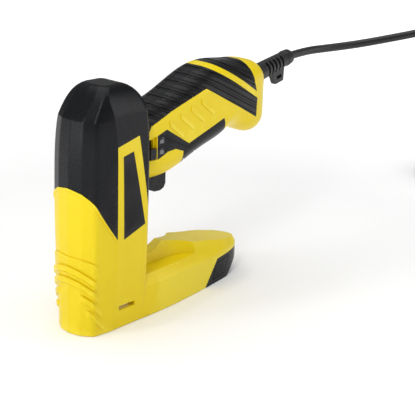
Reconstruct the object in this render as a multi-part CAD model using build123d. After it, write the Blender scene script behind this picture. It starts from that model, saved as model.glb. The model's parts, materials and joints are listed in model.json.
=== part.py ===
"""Corded electric staple gun: two-piece plastic housing round a solenoid, with a pull-out magazine.

Frame, in millimetres: +Z up, +X towards the cord end, +Y to the tool's right-hand side.
The origin lies on the sole, on the centre line, below the middle of the column.
"""
import math
import os

from build123d import *

os.makedirs("parts", exist_ok=True)

# ---------------------------------------------------------------- driving dimensions
COLUMN_HALF_DEPTH = 31.0
COLUMN_HALF_WIDTH = 25.0
WALL = 4.4            # housing wall where it carries no inlay
SKIN = 2.0            # depth of the black inlays
SPLIT_GAP = 0.05      # each half of the housing stops this far from the centre plane
BADGE_DEPTH = 1.2
FOOT_SIDE_HEIGHT = 25.5
FOOT_TOP_AT = 94.0    # where the top of the foot is FOOT_TOP_HEIGHT high
FOOT_TOP_HEIGHT = 42.5
FOOT_TOP_FALL = 0.215
SCOOP_RIM = 34.0
TUBE_HALF_WIDTH = 8.2     # fixed steel magazine tube
TUBE_HEIGHT = 18.5
TUBE_FRONT = -22.6
TUBE_REAR = 112.0
DRAWER_HALF_WIDTH = 7.0
SOLENOID_X = -8.0
CORD_DIAMETER = 7.0
SLEEVE_START = (181.0, 0.0, 163.5)
SLEEVE_END = (234.0, 0.0, 173.0)
COIL_CENTRE = (533.0, -27.0)
COIL_MEAN_RADIUS = 35.5
COIL_FLOOR = 0.8
COIL_WIDTH = 21.4
COIL_HEIGHT = 19.2
BOSS_RADIUS = 4.2
SCREW_SHANK = 1.4
SCREW_SEAT = 10.1
BOBBIN_BORE = 5.4
DRAWER_END = 136.0
PLUG_THICKNESS = 13.7
PLUG_WIDTH = 35.0
PLUG_BEARING = 36.0       # degrees from +X
TAIL_BEARING = 30.0

# The column, from the sole to the crown: height and half outline from the front seam to the rear corner.
COLUMN_SHAFT = [
    (0.0, [(-31, 0), (-29.2, 9.5), (-23.5, 18.5), (-4, 21.5), (31, 23)]),
    (45.0, [(-31, 0), (-29.2, 11), (-24, 21), (-4, 24), (31, 24.6)]),
    (85.0, [(-31, 0), (-29.0, 12), (-24.2, 22.5), (-4, 25.4), (31, 25.5)]),
    (118.0, [(-30.7, 0), (-28.8, 12), (-24, 22.5), (-4.2, 25.4), (31.5, 25.5)]),
    (150.0, [(-29.2, 0), (-27.6, 11.6), (-23, 21.8), (-5, 25), (32, 24.5)]),
    (166.0, [(-27.2, 0), (-25.8, 11), (-21.5, 20.4), (-6.5, 23.6), (31.5, 23.4)]),
]
COLUMN_CROWN = [
    (166.0, [(-27.2, 0), (-25.8, 11), (-21.5, 20.4), (-6.5, 23.6), (31.5, 23.4)], [3, 6, 5, 2.5, 5]),
    (174.0, [(-21.2, 0), (-20.2, 10.6), (-17.4, 19.2), (-7.4, 22), (29.3, 21.6)], [2.5, 5.5, 4.5, 2.5, 5]),
    (181.5, [(-14.6, 0), (-14, 10), (-12.2, 17), (-7.4, 19), (25.2, 18)], [2, 5, 3.5, 2.5, 5]),
    (186.5, [(-9.6, 0), (-9.2, 8.4), (-7.6, 13.8), (-3.8, 15.4), (19.5, 14)], [1.5, 4, 3, 2.2, 4.5]),
    (189.0, [(-4.5, 0), (-4.2, 5.6), (-2.8, 9.2), (0.4, 10.4), (11, 9)], [1, 3, 2, 2, 3]),
]
SHAFT_RADII = [3, 6, 5, 2.5, 5]
# The handle: station along X, underside, top and half width.
HANDLE = [
    (22, 107, 163, 17), (49, 106.5, 166, 19.5), (74, 110, 173, 20.5), (95, 117, 181.5, 21),
    (106, 120, 185, 21.3), (127, 126, 187, 21.5), (144, 130, 185, 21.5), (159, 123, 183.5, 20.5),
    (174, 120.5, 180, 18), (183, 126, 174, 13), (187, 136, 167, 8),
]
# The foot: station along X and half width.
FOOT = [(-4, 20.6), (20, 22.5), (45, 23.8), (69, 23.5), (90, 22.3), (117, 20.2), (132, 18.5), (144, 16.2),
        (153, 12.6), (158, 8)]

# The edge of the black front cover, seen from the side, from the front seam to the side corner.
ARCH = [(-33, 117.5), (-28, 111.5), (-23, 102.5), (-16, 91), (-9, 80.5), (-4.6, 74)]
SCREWS = [(22.0, 52.0), (22.0, 160.0), (-4.0, 178.0), (84.0, 27.5), (112.0, 28.0), (58.0, 152.0),
          (100.0, 172.0),
          (146.0, 172.0), (168.0, 134.0)]
BOARD_POSTS = [(79.0, 147.0), (129.0, 161.0)]

# The cord's route from the end of its sleeve to the top of the coil.
CORD_ROUTE = [(234, 0, 173), (256, -1.5, 174.8), (283, -10, 175), (308, -22, 176.5), (331, -38, 180.5),
              (351, -57, 186), (375, -67.5, 189), (402, -71.5, 185.5), (428, -72.5, 174.5),
              (450.5, -72, 157), (466, -71, 133.5), (475, -69.5, 107), (480.5, -67.5, 82),
              (483, -65.5, 58), (490, -63.8, 39.5), (501, -62.7, 26), (515.5, -62.5, 18.5),
              (531.5, -62.5, 16.3)]


def side_prism(points, reach=60.0):
    """A closed outline seen from the side, (x, z) points, run through the whole width."""
    outline = Polyline(*[(x, 0, z) for x, z in points], close=True)
    return extrude(make_face(Wire(outline.edges())), reach, dir=(0, 1, 0), both=True)


def box_between(low, high):
    """A box from its lowest to its highest corner."""
    size = [b - a for a, b in zip(low, high)]
    middle = [(a + b) / 2 for a, b in zip(low, high)]
    return Pos(*middle) * Box(*size)


def rod(start, end, radius):
    """A round bar between two points."""
    a = Vector(*start)
    b = Vector(*end)
    return extrude(Plane(origin=a, z_dir=b - a) * Circle(radius), (b - a).length)


def tube_between(start, end, outer, inner):
    return rod(start, end, outer) - rod(start, end, inner)


def column_ring(height, half, radii, inset):
    """One closed outline of the column, drawn in from the outside by about inset."""
    along = (COLUMN_HALF_DEPTH - inset) / COLUMN_HALF_DEPTH
    across = (COLUMN_HALF_WIDTH - inset) / COLUMN_HALF_WIDTH
    right = [(x * along, y * across, height) for x, y in half]
    left = [(x, -y, z) for x, y, z in reversed(right[1:])]
    line = FilletPolyline(*right, *left, radius=radii + list(reversed(radii[1:])), close=True)
    return Wire(line.edges())


def column(inset=0.0):
    shaft = Solid.make_loft([column_ring(z, half, SHAFT_RADII, inset) for z, half in COLUMN_SHAFT])
    rings = []
    for z, half, radii in COLUMN_CROWN:
        drop = inset * (z - 166.0) / (189.0 - 166.0)
        rings.append(column_ring(z - drop, half, radii, inset))
    return shaft + Solid.make_loft(rings)


def handle_ring(x, low, high, half_width, inset):
    width = half_width - inset
    bottom = low + inset
    top = high - inset
    radius = 0.82 * min(width, (top - bottom) / 2)
    line = FilletPolyline((x, -width, bottom), (x, width, bottom), (x, width, top), (x, -width, top),
                          radius=[radius] * 4, close=True)
    return Wire(line.edges())


def handle(inset=0.0):
    rings = []
    for x, low, high, half_width in HANDLE:
        rear = max(0.0, (x - 150.0) / 37.0) * inset
        rings.append(handle_ring(x - rear, low, high, half_width, inset))
    return Solid.make_loft(rings)


def foot_ring(height, inset):
    right = [(x - (inset * 0.8 if x > 140 else 0), y - inset, height) for x, y in FOOT]
    left = [(x, -y, z) for x, y, z in right]
    side_a = Spline(*right)
    side_b = Spline(*left)
    tip = (right[-1][0] + 3.2, 0, height)
    return Wire([*side_a.edges(), *ThreePointArc(side_a @ 1, tip, side_b @ 1).edges(), *side_b.edges(),
                 *Line(side_a @ 0, side_b @ 0).edges()])


def foot_top(x, below=0.0):
    return FOOT_TOP_HEIGHT - FOOT_TOP_FALL * (x - FOOT_TOP_AT) - below


def foot(inset=0.0):
    """The foot without its scoops: upright sides, bevelled shoulders, a falling top, a raked end."""
    sides = Solid.make_loft([foot_ring(0, inset), foot_ring(FOOT_SIDE_HEIGHT, inset)], ruled=True)
    shoulders = Solid.make_loft([foot_ring(FOOT_SIDE_HEIGHT, inset), foot_ring(60, inset + 15)], ruled=True)
    outline = [(-4, 0), (137 - inset, 0), (159 - inset, 18), (163, 26), (163, foot_top(163, inset)),
               (68, foot_top(68, inset)), (58, 43 - inset), (40, 41 - inset), (-4, 41 - inset)]
    return (sides + shoulders) & side_prism(outline)


def scoop(sign):
    """The hollow that the fingers pass over on one shoulder of the foot."""
    low_line = [(33, 6), (60, 6.5), (76, 8), (88, 12.5), (95, 20)]
    high_line = [(x + 4.5, y - 4.5) for x, y in low_line]

    def plate(line, height):
        points = [(x, sign * y, height) for x, y in line]
        edge = Spline(*points)
        rest = Polyline(edge @ 1, (line[-1][0], sign * 40, height), (line[0][0], sign * 40, height), edge @ 0)
        return Wire([*edge.edges(), *rest.edges()])

    return Solid.make_loft([plate(low_line, SCOOP_RIM), plate(high_line, SCOOP_RIM + 22)], ruled=True)


def body(inset=0.0):
    """The whole housing as one solid, drawn in by inset."""
    whole = column(inset) + handle(inset)
    base = foot(inset)
    for sign in (-1, 1):
        base -= Pos(0, 0, -inset) * scoop(sign)
    return whole + base


def halves(solid):
    """The right and left halves of a shape, each just clear of the centre plane."""
    right = solid & box_between((-60, SPLIT_GAP, -10), (220, 60, 220))
    left = solid & box_between((-60, -60, -10), (220, -SPLIT_GAP, 220))
    return left, right


parts = {}


# ---------------------------------------------------------------- regions of the skin, seen from the side
def arch_curve(drop=0.0):
    return Spline(*[(x, 0, z - drop) for x, z in ARCH])


def below_arch(drop_top, drop_bottom):
    """The strip between two copies of the arch, run through the width."""
    upper = arch_curve(drop_top)
    lower = arch_curve(drop_bottom)
    face = make_face(Wire([*upper.edges(), *Line(upper @ 1, lower @ 1).edges(), *lower.edges(),
                           *Line(lower @ 0, upper @ 0).edges()]))
    return extrude(face, 60, dir=(0, 1, 0), both=True)


def cover_region():
    """Everything above the arch, round the yellow side frame, down to the point of the rear strip."""
    edge = arch_curve()
    rest = Polyline(edge @ 1, (-4.6, 0, 146), (18.5, 0, 150.5), (30.5, 0, 79), (33.5, 0, 60), (45, 0, 60),
                    (45, 0, 200), (-45, 0, 200), edge @ 0)
    return extrude(make_face(Wire([*edge.edges(), *rest.edges()])), 60, dir=(0, 1, 0), both=True)


GRIP_MAIN = [(28, 146), (36, 147.5), (38.5, 152), (59, 159), (99, 171), (165.5, 135.5), (166.5, 151.5),
             (103, 188.5),
             (103, 200), (28, 200)]
GRIP_BAND = [(106, 193), (165, 157.5), (162, 165), (158.5, 176), (155, 186), (155, 200), (106, 200)]
GRIP_LOWER = [(44.5, 143.5), (54, 147), (79.5, 131), (121.5, 143.5), (131, 118), (76, 100), (73, 126),
              (64, 129.5),
              (56, 129), (44.5, 124.5)]
BADGE = [(1, 138), (12, 140), (25, 80), (2, 73)]
PANEL_RIBS = [(57, 153), (69, 157), (81, 160.5), (93, 164)]
KNUCKLE = [(-34, 62.5), (-26, 60), (-19, 50), (-11, 37), (-6.5, 24)]
RIB_ENDS = [(-23.5 + 2.7 * i, 43.0 - 12.2 * i) for i in range(4)]
CAP = [(104, -1), (121, 20.8), (166, 22.8), (166, -1)]
LATCH = [(120.5, 16.6), (137.5, 18.2), (132.5, 5.2), (115.5, 4.4)]
LATCH_POCKET = [(119.9, 17.0), (138.2, 18.8), (132.9, 4.7), (114.9, 3.9)]
TRIGGER = [(42, 119.5), (42, 109), (44.5, 102), (49, 96.3), (55, 93.6), (62, 93), (66, 94.5), (68, 98),
           (68, 119.5)]


def slanted_bar(x, z, run, fall, width):
    """A bar seen from the side that starts at (x, z) and falls by fall over run."""
    return side_prism([(x, z), (x + run, z - fall), (x + run, z - fall - width), (x, z - width)])


def bars(first, step, count, run, fall, width):
    """Parallel slanted bars, each moved by step from the one before."""
    row = [slanted_bar(first[0] + step[0] * i, first[1] + step[1] * i, run, fall, width)
           for i in range(count)]
    return Compound(children=[part.solid() for part in row])


# ---------------------------------------------------------------- outer shapes and black inlays
outer = body()
column_outer = column()
handle_outer = handle()
column_skin = column_outer - column(SKIN) - handle_outer
handle_skin = handle_outer - handle(SKIN) - column_outer

cover = column_skin & cover_region()
grip_main = handle_skin & side_prism(GRIP_MAIN)
grip_band = handle_skin & side_prism(GRIP_BAND)
grip_lower = handle_skin & side_prism(GRIP_LOWER)
badge = side_prism(BADGE) & (column_outer - column(BADGE_DEPTH))
inlays = [cover, grip_main, grip_band, grip_lower, badge]
groove_floor = handle(0.8)
grooved_main = grip_main - (bars((20, 152), (7.6, 5.6), 11, 170, 85, 0.9) - groove_floor)
grooved_band = grip_band - (bars((96, 205.5), (7.6, 5.6), 3, 120, 72, 0.9) - groove_floor)
grooved_lower = grip_lower - (bars((40, 147.5), (-5, -8), 2, 60, 30, 0.9) - groove_floor)

# ---------------------------------------------------------------- the housing
knuckle_edge = Spline(*[(x, 0, z) for x, z in KNUCKLE])
knuckle_rest = Polyline(knuckle_edge @ 1, (-5.5, 0, 8), (-5.5, 0, 0), (-45, 0, 0), (-45, 0, 62.5),
                        knuckle_edge @ 0)
knuckle = extrude(make_face(Wire([*knuckle_edge.edges(), *knuckle_rest.edges()])), 60, dir=(0, 1, 0),
                  both=True)
rib_rind = column(-2.1)
housing = outer
housing = housing + (column(-0.8) & knuckle)
rib_bars = bars((RIB_ENDS[0][0] - 12, RIB_ENDS[0][1] + 15), (2.7, -12.2), 4, 12, 14, 4.4)
housing = housing + (rib_rind & rib_bars)
housing = housing + (column(-0.7) & below_arch(0.3, 2.4))
housing = housing + (handle(-0.8) & bars(PANEL_RIBS[0], (12, 3.7), 4, 15, 11.5, 4.2))
for inlay in inlays:
    housing = housing - inlay

cavity = body(WALL) & box_between((-40, -40, 3), (200, 40, 220))
housing = housing - cavity
sleeve_axis = (Vector(*SLEEVE_END) - Vector(*SLEEVE_START)).normalized()
sleeve_hole_start = Vector(*SLEEVE_START) - sleeve_axis * 4
sleeve_hole_end = Vector(*SLEEVE_START) + sleeve_axis * 12
openings = [
    box_between((-26.2, -TUBE_HALF_WIDTH - 0.2, -1), (170, TUBE_HALF_WIDTH + 0.2, 4)),      # sole slot
    box_between((-26.2, -TUBE_HALF_WIDTH - 0.2, -1),
                (-20, TUBE_HALF_WIDTH + 0.2, 46.6)),   # nose plate pocket
    side_prism([(x, z + 0.3) if z > 0 else (x - 0.3, z) for x, z in CAP]),                  # rear cap
    box_between((0, -30, 14.4), (17, 30, 18.2)),                                            # staple windows
    box_between((41.4, -7.4, 98), (68.6, 7.4, 117)),                                        # trigger slot
    box_between((36, -30, 125), (44, -16.6, 143)),                                          # lock recess
    box_between((38, -30, 127), (42, -10, 141)),                                            # lock slot
    rod(sleeve_hole_start, sleeve_hole_end, 8.15),                                          # cord sleeve
]
for opening in openings:
    housing = housing - opening
boss_core = body(SKIN + 0.15)


def across(places, low, high, radius):
    """Round bars along Y between low and high, at each (x, z) place."""
    return Compound(children=[rod((x, low, z), (x, high, z), radius).solid() for x, z in places])


supports = [across(SCREWS, -30, 30, BOSS_RADIUS), across(BOARD_POSTS, 7.6, 30, 2.0)]
for sign in (-1, 1):
    for z in (68.4, 132.0):
        supports.append(box_between((-26, sign * 15.5 - 6.5, z), (10, sign * 15.5 + 6.5, z + 3.6)))
supports.append(box_between((160, -30, 148), (168, 30, 155.5)))
for support in supports:
    housing = housing + (support & boss_core)
housing = housing - across(SCREWS, -11.2, 10.1, SCREW_SHANK)
screw_wells = across(SCREWS, SCREW_SEAT, 32, 3.4)
housing = housing - screw_wells
clamp_bores = Compound(children=[rod((164, y, 147), (164, y, 166), 1.2).solid() for y in (-7.5, 7.5)])
housing = housing - clamp_bores
print("housing", housing.is_valid, len(housing.solids()), round(housing.volume))

shells = [("housing", housing), ("front_cover", cover), ("handle_grip", grooved_main),
          ("rear_grip", grooved_band),
          ("lower_grip", grooved_lower), ("side_plate", badge)]
for name, shape in shells:
    left, right = halves(shape)
    parts[f"{name}_left"] = left
    parts[f"{name}_right"] = right - screw_wells

screws = []
for x, z in SCREWS:
    screw = (rod((x, -11, z), (x, SCREW_SEAT, z), SCREW_SHANK)
             + rod((x, SCREW_SEAT, z), (x, SCREW_SEAT + 2.2, z), 3.0))
    screw -= box_between((x - 1.8, SCREW_SEAT + 1.2, z - 0.4), (x + 1.8, SCREW_SEAT + 3, z + 0.4))
    screw -= box_between((x - 0.4, SCREW_SEAT + 1.2, z - 1.8), (x + 0.4, SCREW_SEAT + 3, z + 1.8))
    screws.append(screw.solid())
parts["housing_screws"] = Compound(children=screws)

# ---------------------------------------------------------------- solenoid, plunger and driver
yoke = box_between((SOLENOID_X - 16, -12, 72), (SOLENOID_X + 16, 12, 132))
yoke -= box_between((SOLENOID_X - 13, -13, 75), (SOLENOID_X + 13, 13, 129))
yoke -= rod((SOLENOID_X, 0, 70), (SOLENOID_X, 0, 134), BOBBIN_BORE)
bobbin = tube_between((SOLENOID_X, 0, 75), (SOLENOID_X, 0, 129), 6.6, BOBBIN_BORE)
for low in (75, 127):
    bobbin += tube_between((SOLENOID_X, 0, low), (SOLENOID_X, 0, low + 2), 11.6, BOBBIN_BORE)
plunger = rod((SOLENOID_X, 0, 84), (SOLENOID_X, 0, 158), 4.9)
plunger += rod((SOLENOID_X, 0, 155), (SOLENOID_X, 0, 158), 8.0)
plunger += rod((SOLENOID_X, 0, 53), (SOLENOID_X, 0, 84), 2.5)
parts["solenoid_yoke"] = yoke
parts["solenoid_bobbin"] = bobbin
parts["solenoid_winding"] = tube_between((SOLENOID_X, 0, 77), (SOLENOID_X, 0, 127), 11.0, 6.6)
parts["plunger"] = plunger
parts["driver_bracket"] = box_between((-22.8, -5, 50), (-3, 5, 53))
parts["driver_blade"] = box_between((-23.9, -5.1, 17.2), (-22.8, 5.1, 56))
parts["return_spring"] = tube_between((SOLENOID_X, 0, 132), (SOLENOID_X, 0, 155), 7.6, 6.0)
parts["driver_bumper"] = box_between((-18, -6, TUBE_HEIGHT), (2, 6, 33.4))

# ---------------------------------------------------------------- nose and magazine
nose_plate = box_between((-25.8, -8, 0.4), (-24.3, 8, 46))
for sign in (-1, 1):
    nose_plate += box_between((-24.3, sign * 6.6 - 1, 0.4), (TUBE_FRONT, sign * 6.6 + 1, 32))
tube = box_between((TUBE_FRONT, -TUBE_HALF_WIDTH, 0), (TUBE_REAR, TUBE_HALF_WIDTH, TUBE_HEIGHT))
tube -= box_between((-30, -TUBE_HALF_WIDTH + 1, 1), (TUBE_REAR + 1, TUBE_HALF_WIDTH - 1, TUBE_HEIGHT - 1))
tube -= box_between((0.5, -20, 14.6), (16.5, 20, 17))
parts["nose_plate"] = nose_plate
parts["magazine_tube"] = tube
parts["window_strip_left"] = box_between((-1.5, -20, 12.6), (18.5, -16.9, 19.8)) & cavity
parts["window_strip_right"] = box_between((-1.5, 16.9, 12.6), (18.5, 20, 19.8)) & cavity

drawer_outer = box_between((-21.6, -DRAWER_HALF_WIDTH, 1.3), (DRAWER_END, DRAWER_HALF_WIDTH, 14))
drawer = drawer_outer - box_between((-30, -DRAWER_HALF_WIDTH + 0.9, 2.2),
                                    (DRAWER_END - 2, DRAWER_HALF_WIDTH - 0.9, 20))
parts["magazine_drawer"] = drawer
parts["staple_strip"] = (box_between((-21.4, -5.4, 2.2), (21, 5.4, 12.4))
                         - box_between((-30, -4.7, 1), (30, 4.7, 11.7)))
parts["pusher"] = box_between((21.2, -5.2, 2.4), (34, 5.2, 12.4)) - rod((20, 0, 6.6), (36, 0, 6.6), 1.5)
parts["pusher_rod"] = rod((-19, 0, 6.6), (DRAWER_END - 2, 0, 6.6), 1.2)
parts["pusher_spring"] = tube_between((34.2, 0, 6.6), (DRAWER_END - 2, 0, 6.6), 2.6, 1.7)

foot_outer = foot()
cap = (foot_outer & side_prism(CAP)) & box_between((90, -40, 0), (200, 40, 40))
cap -= box_between((90, -TUBE_HALF_WIDTH - 0.4, -1),
                   (TUBE_REAR + 0.5, TUBE_HALF_WIDTH + 0.4, TUBE_HEIGHT + 0.5))
cap -= box_between((90, -DRAWER_HALF_WIDTH, 1.3), (DRAWER_END, DRAWER_HALF_WIDTH, 14))
cap -= side_prism(LATCH_POCKET) & (foot_outer - foot(4.4))
latches = side_prism(LATCH) & (foot_outer - foot(2.4))
latches -= bars((119.5, 16.0), (3.3, 0.3), 5, -2.6, 9.5, 1.1) - foot(0.8)
parts["magazine_cap"] = cap
parts["latch_left"] = latches & box_between((100, -40, 0), (150, 0, 30))
parts["latch_right"] = latches & box_between((100, 0, 0), (150, 40, 30))

# ---------------------------------------------------------------- trigger, switch and lock
trigger = side_prism(TRIGGER, 6.9) + box_between((43, -9.2, 114), (67, 9.2, 116.6))
trigger += box_between((55, -3, 119.5), (63, 3, 125))
parts["trigger"] = trigger
parts["trigger_spring"] = tube_between((48.5, 0, 119.5), (48.5, 0, 131), 3.2, 2.3)
parts["switch_plate"] = ((box_between((44.6, -30, 131), (75, 30, 133)) & cavity)
                         - rod((59, 0, 130), (59, 0, 134), 1.8))
parts["microswitch"] = box_between((50, -3.2, 133), (70, 3.2, 143)) - rod((59, 0, 132), (59, 0, 137), 1.3)
parts["switch_button"] = rod((59, 0, 130.4), (59, 0, 135.6), 1.2)
lock = box_between((36.8, -19.4, 126), (43.2, -16.8, 134))
lock += box_between((38.3, -16.8, 128), (41.7, -13.6, 132))
lock += box_between((36.8, -13.6, 124.5), (43.2, -12.2, 134.5))
parts["lock_slider"] = lock

# ---------------------------------------------------------------- electronics in the handle
parts["circuit_board"] = box_between((76, 6, 143), (132, 7.6, 163))
parts["capacitor"] = box_between((80, -5, 148), (104, 6, 160))
parts["triac"] = box_between((108, 1.5, 146), (118, 6, 161))
parts["choke"] = rod((125, -4, 153), (125, 6, 153), 5.0)

# ---------------------------------------------------------------- cord, from its inner run to the plug
cord_radius = CORD_DIAMETER / 2
sleeve_length = (Vector(*SLEEVE_END) - Vector(*SLEEVE_START)).length
inner_start = Vector(*SLEEVE_START) - sleeve_axis * 32
parts["cord_inner"] = rod(inner_start, SLEEVE_END, cord_radius)
parts["cord_clamp"] = (box_between((160, -10, 155.5), (168, 10, 166.5))
                       - rod(inner_start, SLEEVE_END, cord_radius)
                       - clamp_bores)
parts["clamp_screws"] = Compound(children=[
    (rod((164, y, 149), (164, y, 166.5), 1.2) + rod((164, y, 166.5), (164, y, 168), 2.2)).solid()
    for y in (-7.5, 7.5)])

sleeve_frame = Plane(origin=SLEEVE_START, x_dir=(0, 1, 0), z_dir=sleeve_axis)
sleeve_profile = Polyline((cord_radius, 0), (8.0, 0), (8.0, 9), (7.6, 14), (6.6, sleeve_length - 7),
                          (7.1, sleeve_length - 6), (6.6, sleeve_length),
                          (cord_radius, sleeve_length), close=True)
sleeve = revolve(Plane.XZ * make_face(Wire(sleeve_profile.edges())), Axis.Z)
notches = [Pos(0, 0, 18.3 + 5.0 * i) * (Cylinder(12, 2.4) - Cylinder(4.9, 2.4)) - Box(5.5, 60, 120)
           for i in range(5)]
for notch in notches:
    sleeve -= notch
eye_outline = Polyline((-17.5, 31), (-5.2, 27), (-5.2, 45), (-17.5, 42), close=True)
eye = extrude(Plane.YZ * make_face(Wire(eye_outline.edges())), 2.5, both=True)
sleeve += eye - Pos(0, -12.3, 36.5) * Box(10, 3.2, 7)
sleeve = sleeve_frame.location * sleeve
flange_start = Vector(*SLEEVE_START) - sleeve_axis * 2.6
parts["cord_sleeve"] = sleeve + (tube_between(flange_start, SLEEVE_START, 10.4, cord_radius) & cavity)


def cord_run(name, points):
    """A round cord along straight runs joined by tangent arcs, with its radii and volume printed."""
    points = [Vector(*point) for point in points]
    runs = [(b - a).length for a, b in zip(points, points[1:])]
    radii = []
    for i in range(1, len(points) - 1):
        turn = math.radians((points[i] - points[i - 1]).get_angle(points[i + 1] - points[i]))
        radii.append(0.45 * min(runs[i - 1], runs[i]) / math.tan(turn / 2))
    path = FilletPolyline(*points, radius=radii)
    section = Plane(origin=points[0], z_dir=points[1] - points[0]) * Circle(cord_radius)
    run = sweep(section, path=path)
    expected = math.pi * cord_radius ** 2 * path.length
    print(name, "smallest radius", round(min(radii), 1), "length", round(path.length, 1),
          "volume ratio", round(run.volume / expected, 4))
    parts[name] = run


cord_run("cord_lead", CORD_ROUTE)
coil_section = RectangleRounded(COIL_WIDTH, COIL_HEIGHT, cord_radius)
coil_section = Plane.XZ * (Pos(COIL_MEAN_RADIUS, COIL_FLOOR + COIL_HEIGHT / 2) * coil_section)
coil = Pos(*COIL_CENTRE, 0) * revolve(coil_section, Axis.Z)
parts["cord_coil"] = coil
tie_inner = COIL_CENTRE[0] - COIL_MEAN_RADIUS + COIL_WIDTH / 2
tie_outer = COIL_CENTRE[0] - COIL_MEAN_RADIUS - COIL_WIDTH / 2
tie_top = COIL_FLOOR + COIL_HEIGHT
tie = box_between((tie_outer - 0.8, COIL_CENTRE[1] - 5, 0),
                  (tie_inner + 1.3, COIL_CENTRE[1] + 5, tie_top + 0.8))
tie -= box_between((tie_outer, -200, COIL_FLOOR), (tie_inner, 200, tie_top))
parts["cord_tie"] = tie - coil

reach = COIL_MEAN_RADIUS + COIL_WIDTH / 2 - cord_radius - 0.2
tail_angle = math.radians(TAIL_BEARING)
tail_start = Vector(COIL_CENTRE[0] + reach * math.sin(tail_angle),
                    COIL_CENTRE[1] - reach * math.cos(tail_angle),
                    COIL_FLOOR + cord_radius)
plug_heading = Vector(math.cos(math.radians(PLUG_BEARING)), math.sin(math.radians(PLUG_BEARING)), 0)
tail_corner = tail_start + Vector(20 * math.cos(tail_angle), 20 * math.sin(tail_angle), 0.9)
tail_end = tail_corner + plug_heading * 18
tail_end = Vector(tail_end.X, tail_end.Y, PLUG_THICKNESS / 2)
cord_run("cord_tail", [tuple(tail_start), tuple(tail_corner), tuple(tail_end)])

plug_frame = Plane(origin=tail_end, x_dir=(plug_heading.Y, -plug_heading.X, 0), z_dir=plug_heading)
plug_body = Pos(0, 0, 29) * Box(PLUG_WIDTH, PLUG_THICKNESS, 26)
plug_body = fillet(plug_body.edges().filter_by(Axis.Z), 3.5)
plug_body += Pos(0, 0, 8) * Cone(4.4, 6.2, 16)
parts["plug"] = plug_frame.location * plug_body
pins = [plug_frame.location * (Pos(x, 0, 51.5) * Cylinder(2.0, 19)) for x in (-9.3, 9.3)]
parts["plug_pins"] = Compound(children=[pin.solid() for pin in pins])

for name, shape in parts.items():
    export_step(shape, f"parts/{name}.step")
    print(name, shape.is_valid, len(shape.solids()), round(shape.volume))
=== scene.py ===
"""Looks for the corded staple gun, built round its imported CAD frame. Metres throughout."""
import json
import math

import bpy
from mathutils import Matrix, Vector


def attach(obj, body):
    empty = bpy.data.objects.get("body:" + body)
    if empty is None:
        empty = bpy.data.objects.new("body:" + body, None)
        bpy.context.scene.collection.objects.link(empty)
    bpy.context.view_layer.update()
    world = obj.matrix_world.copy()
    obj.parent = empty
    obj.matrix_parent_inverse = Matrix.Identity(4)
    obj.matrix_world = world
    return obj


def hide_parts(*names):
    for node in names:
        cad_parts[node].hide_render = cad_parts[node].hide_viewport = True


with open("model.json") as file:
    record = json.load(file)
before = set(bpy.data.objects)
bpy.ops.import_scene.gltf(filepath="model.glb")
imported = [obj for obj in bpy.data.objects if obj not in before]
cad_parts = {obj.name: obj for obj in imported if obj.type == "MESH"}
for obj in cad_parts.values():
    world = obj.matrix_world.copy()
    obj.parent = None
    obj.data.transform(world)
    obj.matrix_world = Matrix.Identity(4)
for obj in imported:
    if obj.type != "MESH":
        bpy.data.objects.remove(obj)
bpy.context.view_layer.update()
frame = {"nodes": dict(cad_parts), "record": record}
nodes = frame["nodes"]
MM = 0.001

# ---------------------------------------------------------------- camera
CAMERA_PLACE = Vector((-0.5878, -0.5868, 0.3945))
CAMERA_BEARING = math.radians(-50.73)
CAMERA_RISE = math.radians(19.88)
CAMERA_ROLL = math.radians(1.868)
CAMERA_LENS = 101.5


def add_camera():
    back = Vector((math.sin(CAMERA_BEARING) * math.cos(CAMERA_RISE),
                   -math.cos(CAMERA_BEARING) * math.cos(CAMERA_RISE), math.sin(CAMERA_RISE)))
    level = Vector((math.cos(CAMERA_BEARING), math.sin(CAMERA_BEARING), 0))
    upright = back.cross(level)
    right = level * math.cos(CAMERA_ROLL) + upright * math.sin(CAMERA_ROLL)
    up = upright * math.cos(CAMERA_ROLL) - level * math.sin(CAMERA_ROLL)
    data = bpy.data.cameras.new("camera")
    data.lens = CAMERA_LENS
    data.sensor_width = 36
    data.clip_start = 0.01
    camera = bpy.data.objects.new("camera", data)
    turn = Matrix((right, up, back)).transposed()
    camera.matrix_world = Matrix.Translation(CAMERA_PLACE) @ turn.to_4x4()
    bpy.context.scene.collection.objects.link(camera)
    bpy.context.scene.camera = camera


add_camera()

# ---------------------------------------------------------------- the mains lead
CORD_DIAMETER = 0.007
ROUTE = [(234, 0, 173), (256, -1.5, 174.8), (283, -10, 175), (308, -22, 176.5), (331, -38, 180.5),
         (351, -57, 186), (375, -67.5, 189), (402, -71.5, 185.5), (428, -72.5, 174.5), (450.5, -72, 157),
         (466, -71, 133.5), (475, -69.5, 107), (480.5, -67.5, 82), (483, -65.5, 58), (490, -63.8, 39.5),
         (501, -62.7, 26), (515.5, -62.5, 18.5)]
COIL_CENTRE = (533.0, -27.0)
# Radius and height of each turn, from the top of the coil to the floor.
TURNS = [(35.5, 16.5), (42.5, 16.5), (39.0, 10.4), (32.0, 10.4), (28.4, 4.3), (35.5, 4.3), (42.5, 4.3)]
STEPS_PER_TURN = 24
CHANGE_STEPS = 3
TAIL_BEARING = math.radians(30)
TAIL = [(17.32, 10.0, 0.9), (31.88, 20.58, 2.55)]


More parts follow.
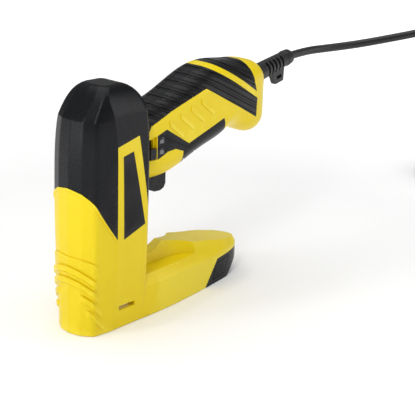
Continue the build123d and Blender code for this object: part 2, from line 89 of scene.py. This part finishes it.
def coil_points():
    """The coil's turns: each changes to the next turn's place a little sooner than the one above it."""
    swell = 2 / (1 + math.cos(math.pi / STEPS_PER_TURN))
    points = []
    total = STEPS_PER_TURN * (len(TURNS) - 1) + STEPS_PER_TURN // 12
    for step in range(total + 1):
        turn, part = divmod(step, STEPS_PER_TURN)
        radius, height = TURNS[turn]
        if turn < len(TURNS) - 1:
            change_at = STEPS_PER_TURN - CHANGE_STEPS * (turn + 1) - 2
            share = min(1.0, max(0.0, (part - change_at) / CHANGE_STEPS))
            next_radius, next_height = TURNS[turn + 1]
            radius += (next_radius - radius) * share
            height += (next_height - height) * share
        angle = -math.pi / 2 + 2 * math.pi * part / STEPS_PER_TURN
        points.append((COIL_CENTRE[0] + radius * swell * math.cos(angle),
                       COIL_CENTRE[1] + radius * swell * math.sin(angle), height))
    return points


def add_cord():
    turns = coil_points()
    reach, floor_turn = TURNS[-1]
    tail_start = (COIL_CENTRE[0] + reach * math.sin(TAIL_BEARING),
                  COIL_CENTRE[1] - reach * math.cos(TAIL_BEARING), floor_turn)
    tail = [tuple(a + b for a, b in zip(tail_start, step)) for step in TAIL]
    route = ROUTE + turns[:-1] + [tail_start] + tail
    curve = bpy.data.curves.new("mains_lead", "CURVE")
    curve.dimensions = "3D"
    # The bevel is one metre and each point's radius brings it down to the cord's, because the curve's
    # bounds take in the points' radii.
    curve.bevel_depth = 1.0
    curve.bevel_resolution = 5
    curve.use_fill_caps = True
    spline = curve.splines.new("NURBS")
    spline.points.add(len(route) - 1)
    for point, place in zip(spline.points, route):
        point.co = (place[0] * MM, place[1] * MM, place[2] * MM, 1)
        point.radius = CORD_DIAMETER / 2
    spline.order_u = 3
    spline.use_endpoint_u = True
    spline.resolution_u = 6
    lead = bpy.data.objects.new("mains_lead", curve)
    bpy.context.scene.collection.objects.link(lead)
    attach(lead, "tool")
    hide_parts("cord_lead", "cord_coil", "cord_tail")
    return lead


lead = add_cord()


# ---------------------------------------------------------------- materials
def node(tree, kind, place, **values):
    made = tree.nodes.new(kind)
    made.location = place
    for name, value in values.items():
        made.inputs[name.replace("_", " ")].default_value = value
    return made


def surface(name, colour, rough, grain=2500.0, bump=0.1, tone=0.06, metallic=0.0, coat=0.0, painted_edge_highlight=None,
            rough_spread=0.03, stretch=(1, 1, 1), specular=0.5):
    """A moulded or metal surface: fine grain, slow changes of tone and gloss, and a painted highlight that
    lightens convex edges.
    """
    made = bpy.data.materials.new(name)
    made.use_nodes = True
    tree = made.node_tree
    shader = tree.nodes["Principled BSDF"]
    shader.inputs["Metallic"].default_value = metallic
    shader.inputs["Coat Weight"].default_value = coat
    shader.inputs["Coat Roughness"].default_value = 0.15
    shader.inputs["Specular IOR Level"].default_value = specular
    coordinates = node(tree, "ShaderNodeTexCoord", (-1200, 0))
    mapping = node(tree, "ShaderNodeMapping", (-1000, 0))
    mapping.inputs["Scale"].default_value = stretch
    tree.links.new(coordinates.outputs["Object"], mapping.inputs["Vector"])
    fine = node(tree, "ShaderNodeTexNoise", (-780, -300), Scale=grain, Detail=4.0, Roughness=0.6)
    slow = node(tree, "ShaderNodeTexNoise", (-780, 100), Scale=38.0, Detail=3.0, Roughness=0.5)
    middle = node(tree, "ShaderNodeTexNoise", (-780, -100), Scale=420.0, Detail=5.0, Roughness=0.65)
    tree.links.new(mapping.outputs["Vector"], fine.inputs["Vector"])
    for texture in (slow, middle):
        tree.links.new(coordinates.outputs["Object"], texture.inputs["Vector"])
    ramp = node(tree, "ShaderNodeValToRGB", (-560, 120))
    ramp.color_ramp.elements[0].position = 0.35
    ramp.color_ramp.elements[1].position = 0.65
    ramp.color_ramp.elements[0].color = (*[value * (1 - tone) for value in colour], 1)
    ramp.color_ramp.elements[1].color = (*[min(1, value * (1 + tone)) for value in colour], 1)
    tree.links.new(slow.outputs["Fac"], ramp.inputs["Fac"])
    base = ramp.outputs["Color"]
    # Painted highlight: convex edges, picked out by pointiness, are mixed towards the lighter edge colour.
    if painted_edge_highlight:
        geometry = node(tree, "ShaderNodeNewGeometry", (-780, 320))
        edge = node(tree, "ShaderNodeMapRange", (-560, 340))
        edge.inputs["From Min"].default_value = 0.53
        edge.inputs["From Max"].default_value = 0.62
        tree.links.new(geometry.outputs["Pointiness"], edge.inputs["Value"])
        mix = tree.nodes.new("ShaderNodeMix")
        mix.data_type = "RGBA"
        mix.location = (-260, 200)
        mix.inputs["B"].default_value = (*painted_edge_highlight, 1)
        tree.links.new(edge.outputs["Result"], mix.inputs["Factor"])
        tree.links.new(base, mix.inputs["A"])
        base = mix.outputs["Result"]
    tree.links.new(base, shader.inputs["Base Color"])
    gloss = node(tree, "ShaderNodeMapRange", (-480, -100))
    gloss.inputs["From Min"].default_value = 0.3
    gloss.inputs["From Max"].default_value = 0.7
    gloss.inputs["To Min"].default_value = max(0.02, rough - rough_spread)
    gloss.inputs["To Max"].default_value = min(1.0, rough + rough_spread)
    tree.links.new(middle.outputs["Fac"], gloss.inputs["Value"])
    tree.links.new(gloss.outputs["Result"], shader.inputs["Roughness"])
    relief = node(tree, "ShaderNodeBump", (-260, -300), Strength=bump, Distance=0.00012)
    tree.links.new(fine.outputs["Fac"], relief.inputs["Height"])
    tree.links.new(relief.outputs["Normal"], shader.inputs["Normal"])
    return made


def banded(name, colour, dark, spacing, direction, rough, metallic=0.0, bump=0.6):
    """A surface made of round strands side by side, with painted shade in the grooves between them: windings,
    springs and glued staples.
    """
    made = surface(name, colour, rough, metallic=metallic, bump=0.1)
    tree = made.node_tree
    shader = tree.nodes["Principled BSDF"]
    coordinates = next(item for item in tree.nodes if item.bl_idname == "ShaderNodeTexCoord")
    wave = node(tree, "ShaderNodeTexWave", (-780, -600), Scale=1 / (spacing * BANDS_PER_UNIT))
    wave.bands_direction = direction
    tree.links.new(coordinates.outputs["Object"], wave.inputs["Vector"])
    # Painted shade: the wave darkens the grooves between strands towards the darker colour.
    strand_shading = node(tree, "ShaderNodeValToRGB", (-480, -520))
    strand_shading.color_ramp.elements[0].color = (*dark, 1)
    strand_shading.color_ramp.elements[1].color = (*colour, 1)
    strand_shading.color_ramp.elements[1].position = 0.55
    tree.links.new(wave.outputs["Fac"], strand_shading.inputs["Fac"])
    tree.links.new(strand_shading.outputs["Color"], shader.inputs["Base Color"])
    ridge = node(tree, "ShaderNodeBump", (-200, -560), Strength=bump, Distance=0.0004)
    tree.links.new(wave.outputs["Fac"], ridge.inputs["Height"])
    tree.links.new(ridge.outputs["Normal"], shader.inputs["Normal"])
    return made


YELLOW = (0.83, 0.63, 0.003)
# Painted highlight colour for the convex edges of the black mouldings.
BLACK_EDGE_HIGHLIGHT = (0.02, 0.02, 0.023)
SPRING_WIRE = (0.5, 0.5, 0.52)
# Painted shade for the grooves between spring turns.
WIRE_GROOVE_SHADE = (0.03, 0.03, 0.03)
BRIGHT_STEEL = (0.68, 0.68, 0.69)
# How many bands a wave texture draws across one unit at a scale of one.
BANDS_PER_UNIT = 3.18
RIB_SPACING = 0.0042
RIB_SLOPE = 0.5
RIB_GROOVE_SHARE = 0.2
looks = {
    # Where a surface is given an edge colour, it is a painted highlight lighter than its base.
    "housing_yellow": surface("yellow_shell", YELLOW, 0.33, grain=1700, bump=0.08, tone=0.015,
                              painted_edge_highlight=(0.9, 0.74, 0.05), specular=0.28),
    "black_plastic": surface("black_moulding", (0.006, 0.0065, 0.008), 0.27, grain=1500, bump=0.1, tone=0.1,
                             painted_edge_highlight=BLACK_EDGE_HIGHLIGHT, specular=0.16),
    "grip_black": surface("soft_black", (0.006, 0.006, 0.007), 0.32, grain=1300, bump=0.16, tone=0.1,
                          painted_edge_highlight=BLACK_EDGE_HIGHLIGHT, specular=0.22),
    "plate_black": surface("gloss_black", (0.004, 0.004, 0.005), 0.24, grain=900, bump=0.03, tone=0.1,
                           painted_edge_highlight=BLACK_EDGE_HIGHLIGHT, specular=0.16),
    "white_plastic": surface("pale_plastic", (0.78, 0.76, 0.7), 0.45, grain=1400, bump=0.1),
    "zinc_steel": surface("zinc_plate", (0.58, 0.59, 0.61), 0.35, grain=900, bump=0.12, metallic=1.0,
                          tone=0.12),
    "bright_steel": surface("brushed_steel", BRIGHT_STEEL, 0.27, grain=700, bump=0.25, metallic=1.0,
                            tone=0.08, stretch=(0.06, 1, 1)),
    "spring_steel": banded("spring_wire", SPRING_WIRE, WIRE_GROOVE_SHADE, 0.0022, "Z", 0.3, 1.0, 1.0),
    "copper_wire": banded("copper_turns", (0.75, 0.33, 0.13), (0.2, 0.07, 0.02), 0.0007, "Z", 0.3, 1.0, 0.8),
    "black_rubber": surface("bumper_rubber", (0.02, 0.02, 0.02), 0.7, grain=700, bump=0.3),
    "mark_grey": surface("mark_grey", (0.16, 0.16, 0.17), 0.4, grain=1300, bump=0.1),
    "board_green": surface("board_resin", (0.02, 0.16, 0.06), 0.3, grain=600, bump=0.1, tone=0.3),
    "cord_black": surface("cord_rubber", (0.012, 0.012, 0.013), 0.36, grain=900, bump=0.12, tone=0.12,
                          painted_edge_highlight=(0.03, 0.03, 0.032), specular=0.4),
    "plug_black": surface("plug_rubber", (0.022, 0.022, 0.024), 0.45, grain=1100, bump=0.18, tone=0.12,
                          painted_edge_highlight=(0.05, 0.05, 0.055)),
}


def add_ribs(made, spacing, slope, groove_share):
    """Fine moulded ribs that fall towards the rear: rounded crests with narrow dark grooves between."""
    tree = made.node_tree
    shader = tree.nodes["Principled BSDF"]
    coordinates = next(item for item in tree.nodes if item.bl_idname == "ShaderNodeTexCoord")
    length = math.hypot(1, slope)
    across = node(tree, "ShaderNodeVectorMath", (-900, -700))
    across.operation = "DOT_PRODUCT"
    across.inputs[1].default_value = (slope / length / spacing, 0, 1 / length / spacing)
    tree.links.new(coordinates.outputs["Object"], across.inputs[0])
    saw = node(tree, "ShaderNodeMath", (-720, -700))
    saw.operation = "PINGPONG"
    saw.inputs[1].default_value = 0.5
    tree.links.new(across.outputs["Value"], saw.inputs[0])
    crest = node(tree, "ShaderNodeMapRange", (-540, -700))
    crest.interpolation_type = "SMOOTHSTEP"
    crest.inputs["From Max"].default_value = groove_share
    tree.links.new(saw.outputs["Value"], crest.inputs["Value"])
    ridge = node(tree, "ShaderNodeBump", (-100, -520), Strength=0.9, Distance=0.0009)
    old_bump = next(item for item in tree.nodes if item.bl_idname == "ShaderNodeBump" and item != ridge)
    tree.links.new(crest.outputs["Result"], ridge.inputs["Height"])
    tree.links.new(old_bump.outputs["Normal"], ridge.inputs["Normal"])
    tree.links.new(ridge.outputs["Normal"], shader.inputs["Normal"])


add_ribs(looks["grip_black"], RIB_SPACING, RIB_SLOPE, RIB_GROOVE_SHARE)
slots = {part["node"]: part["material_slot"] for part in frame["record"]["subparts"]}
for name, item in nodes.items():
    item.data.materials.clear()
    item.data.materials.append(looks[slots[name]])
for name in ("lower_grip_left", "lower_grip_right"):
    nodes[name].data.materials[0] = looks["black_plastic"]
pusher_wire = banded("pusher_wire", SPRING_WIRE, WIRE_GROOVE_SHADE, 0.002, "X", 0.3, 1.0, 1.0)
glued_staples = banded("glued_staples", BRIGHT_STEEL, (0.3, 0.3, 0.31), 0.00125, "X", 0.3, 1.0, 0.6)
nodes["pusher_spring"].data.materials[0] = pusher_wire
nodes["staple_strip"].data.materials[0] = glued_staples
lead.data.materials.append(looks["cord_black"])


# ---------------------------------------------------------------- lock marks beside the slider
def on_left_side(name, x, z):
    """The point of a CAD node's left-hand surface at (x, z), and the way it faces."""
    hit, place, normal, _ = nodes[name].ray_cast(Vector((x, -0.2, z)), Vector((0, 1, 0)))
    if not hit:
        raise RuntimeError(f"{name} has no surface at {x}, {z}")
    return place, normal


def lock_mark(name, x, z, lift):
    """A small padlock: a bevelled body and a half ring, raised a little from the grip."""
    place, normal = on_left_side("lower_grip_left", x, z)
    ring_height = 0.0015 + lift * 0.4
    bpy.ops.object.select_all(action="DESELECT")
    bpy.ops.mesh.primitive_cube_add(size=1)
    body = bpy.context.object
    body.name = name
    bpy.ops.object.mode_set(mode="EDIT")
    bpy.ops.mesh.select_all(action="SELECT")
    bpy.ops.transform.resize(value=(0.0040, 0.0005, 0.0030))
    bpy.ops.mesh.bevel(offset=0.0002, segments=2)
    bpy.ops.mesh.select_all(action="DESELECT")
    bpy.ops.mesh.primitive_torus_add(major_segments=32, minor_segments=8, major_radius=0.0012,
                                     minor_radius=0.00024, rotation=(math.pi / 2, 0, 0),
                                     location=(lift, 0, ring_height))
    bpy.ops.mesh.bisect(plane_co=(0, 0, ring_height), plane_no=(0, 0, 1), clear_inner=True, use_fill=True)
    bpy.ops.mesh.select_all(action="SELECT")
    bpy.ops.mesh.normals_make_consistent(inside=False)
    bpy.ops.object.mode_set(mode="OBJECT")
    turn = normal.to_track_quat("-Y", "Z").to_matrix().to_4x4()
    body.data.transform(Matrix.Translation(place) @ turn)
    body.data.materials.append(looks["mark_grey"])
    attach(body, "tool")


lock_mark("lock_mark_open", 0.0490, 0.1385, 0.0008)
lock_mark("lock_mark_closed", 0.0490, 0.1300, 0.0)


# ---------------------------------------------------------------- floor and light
FLOOR_SIZE = 14
FLOOR_GAP = 0.0004


def add_distance_glow(tree):
    """A strength that is nothing under the tool and grows away from it, so that the far floor stays white."""
    coordinates = node(tree, "ShaderNodeTexCoord", (-900, -200))
    distance = node(tree, "ShaderNodeVectorMath", (-700, -200))
    distance.operation = "LENGTH"
    tree.links.new(coordinates.outputs["Object"], distance.inputs[0])
    glow = node(tree, "ShaderNodeMapRange", (-500, -200))
    glow.inputs["From Min"].default_value = 0.3
    glow.inputs["From Max"].default_value = 1.0
    glow.inputs["To Max"].default_value = 0.45
    tree.links.new(distance.outputs["Value"], glow.inputs["Value"])
    return glow.outputs["Result"]


def add_stage():
    bpy.ops.mesh.primitive_plane_add(size=FLOOR_SIZE, location=(0.1, 0, -FLOOR_GAP))
    floor = bpy.context.object
    floor.name = "floor"
    made = bpy.data.materials.new("floor_white")
    made.use_nodes = True
    shader = made.node_tree.nodes["Principled BSDF"]
    shader.inputs["Base Color"].default_value = (0.96, 0.96, 0.96, 1)
    shader.inputs["Roughness"].default_value = 0.85
    shader.inputs["Specular IOR Level"].default_value = 0.1
    glow = add_distance_glow(made.node_tree)
    shader.inputs["Emission Color"].default_value = (1, 1, 1, 1)
    made.node_tree.links.new(glow, shader.inputs["Emission Strength"])
    floor.data.materials.append(made)


def add_light(name, place, aim, power, size=None, angle=None):
    """A square-cornered soft light of the given size, or, where size is left out, a broad sun."""
    data = bpy.data.lights.new(name, "AREA" if size else "SUN")
    data.energy = power
    if size:
        data.shape = "RECTANGLE"
        data.size, data.size_y = size
    else:
        data.angle = angle
    lamp = bpy.data.objects.new(name, data)
    lamp.location = place
    lamp.rotation_euler = (Vector(aim) - Vector(place)).to_track_quat("-Z", "Y").to_euler()
    bpy.context.scene.collection.objects.link(lamp)


add_stage()
AIM = (0.06, 0, 0.09)
add_light("key", (-0.75, -0.35, 0.85), AIM, 3.6, size=(0.16, 0.8))
add_light("side", (-0.9, 0.35, 0.4), AIM, 3, size=(0.2, 0.9))
add_light("rear", (0.7, -0.75, 0.5), AIM, 2, size=(0.25, 0.8))
add_light("top", (0.0, 0.3, 3.0), AIM, 1.7, angle=math.radians(70))
world = bpy.data.worlds.new("studio")
world.use_nodes = True
world.node_tree.nodes["Background"].inputs["Color"].default_value = (1, 1, 1, 1)
world.node_tree.nodes["Background"].inputs["Strength"].default_value = 0.26
bpy.context.scene.world = world
bpy.context.scene.view_settings.view_transform = "Standard"
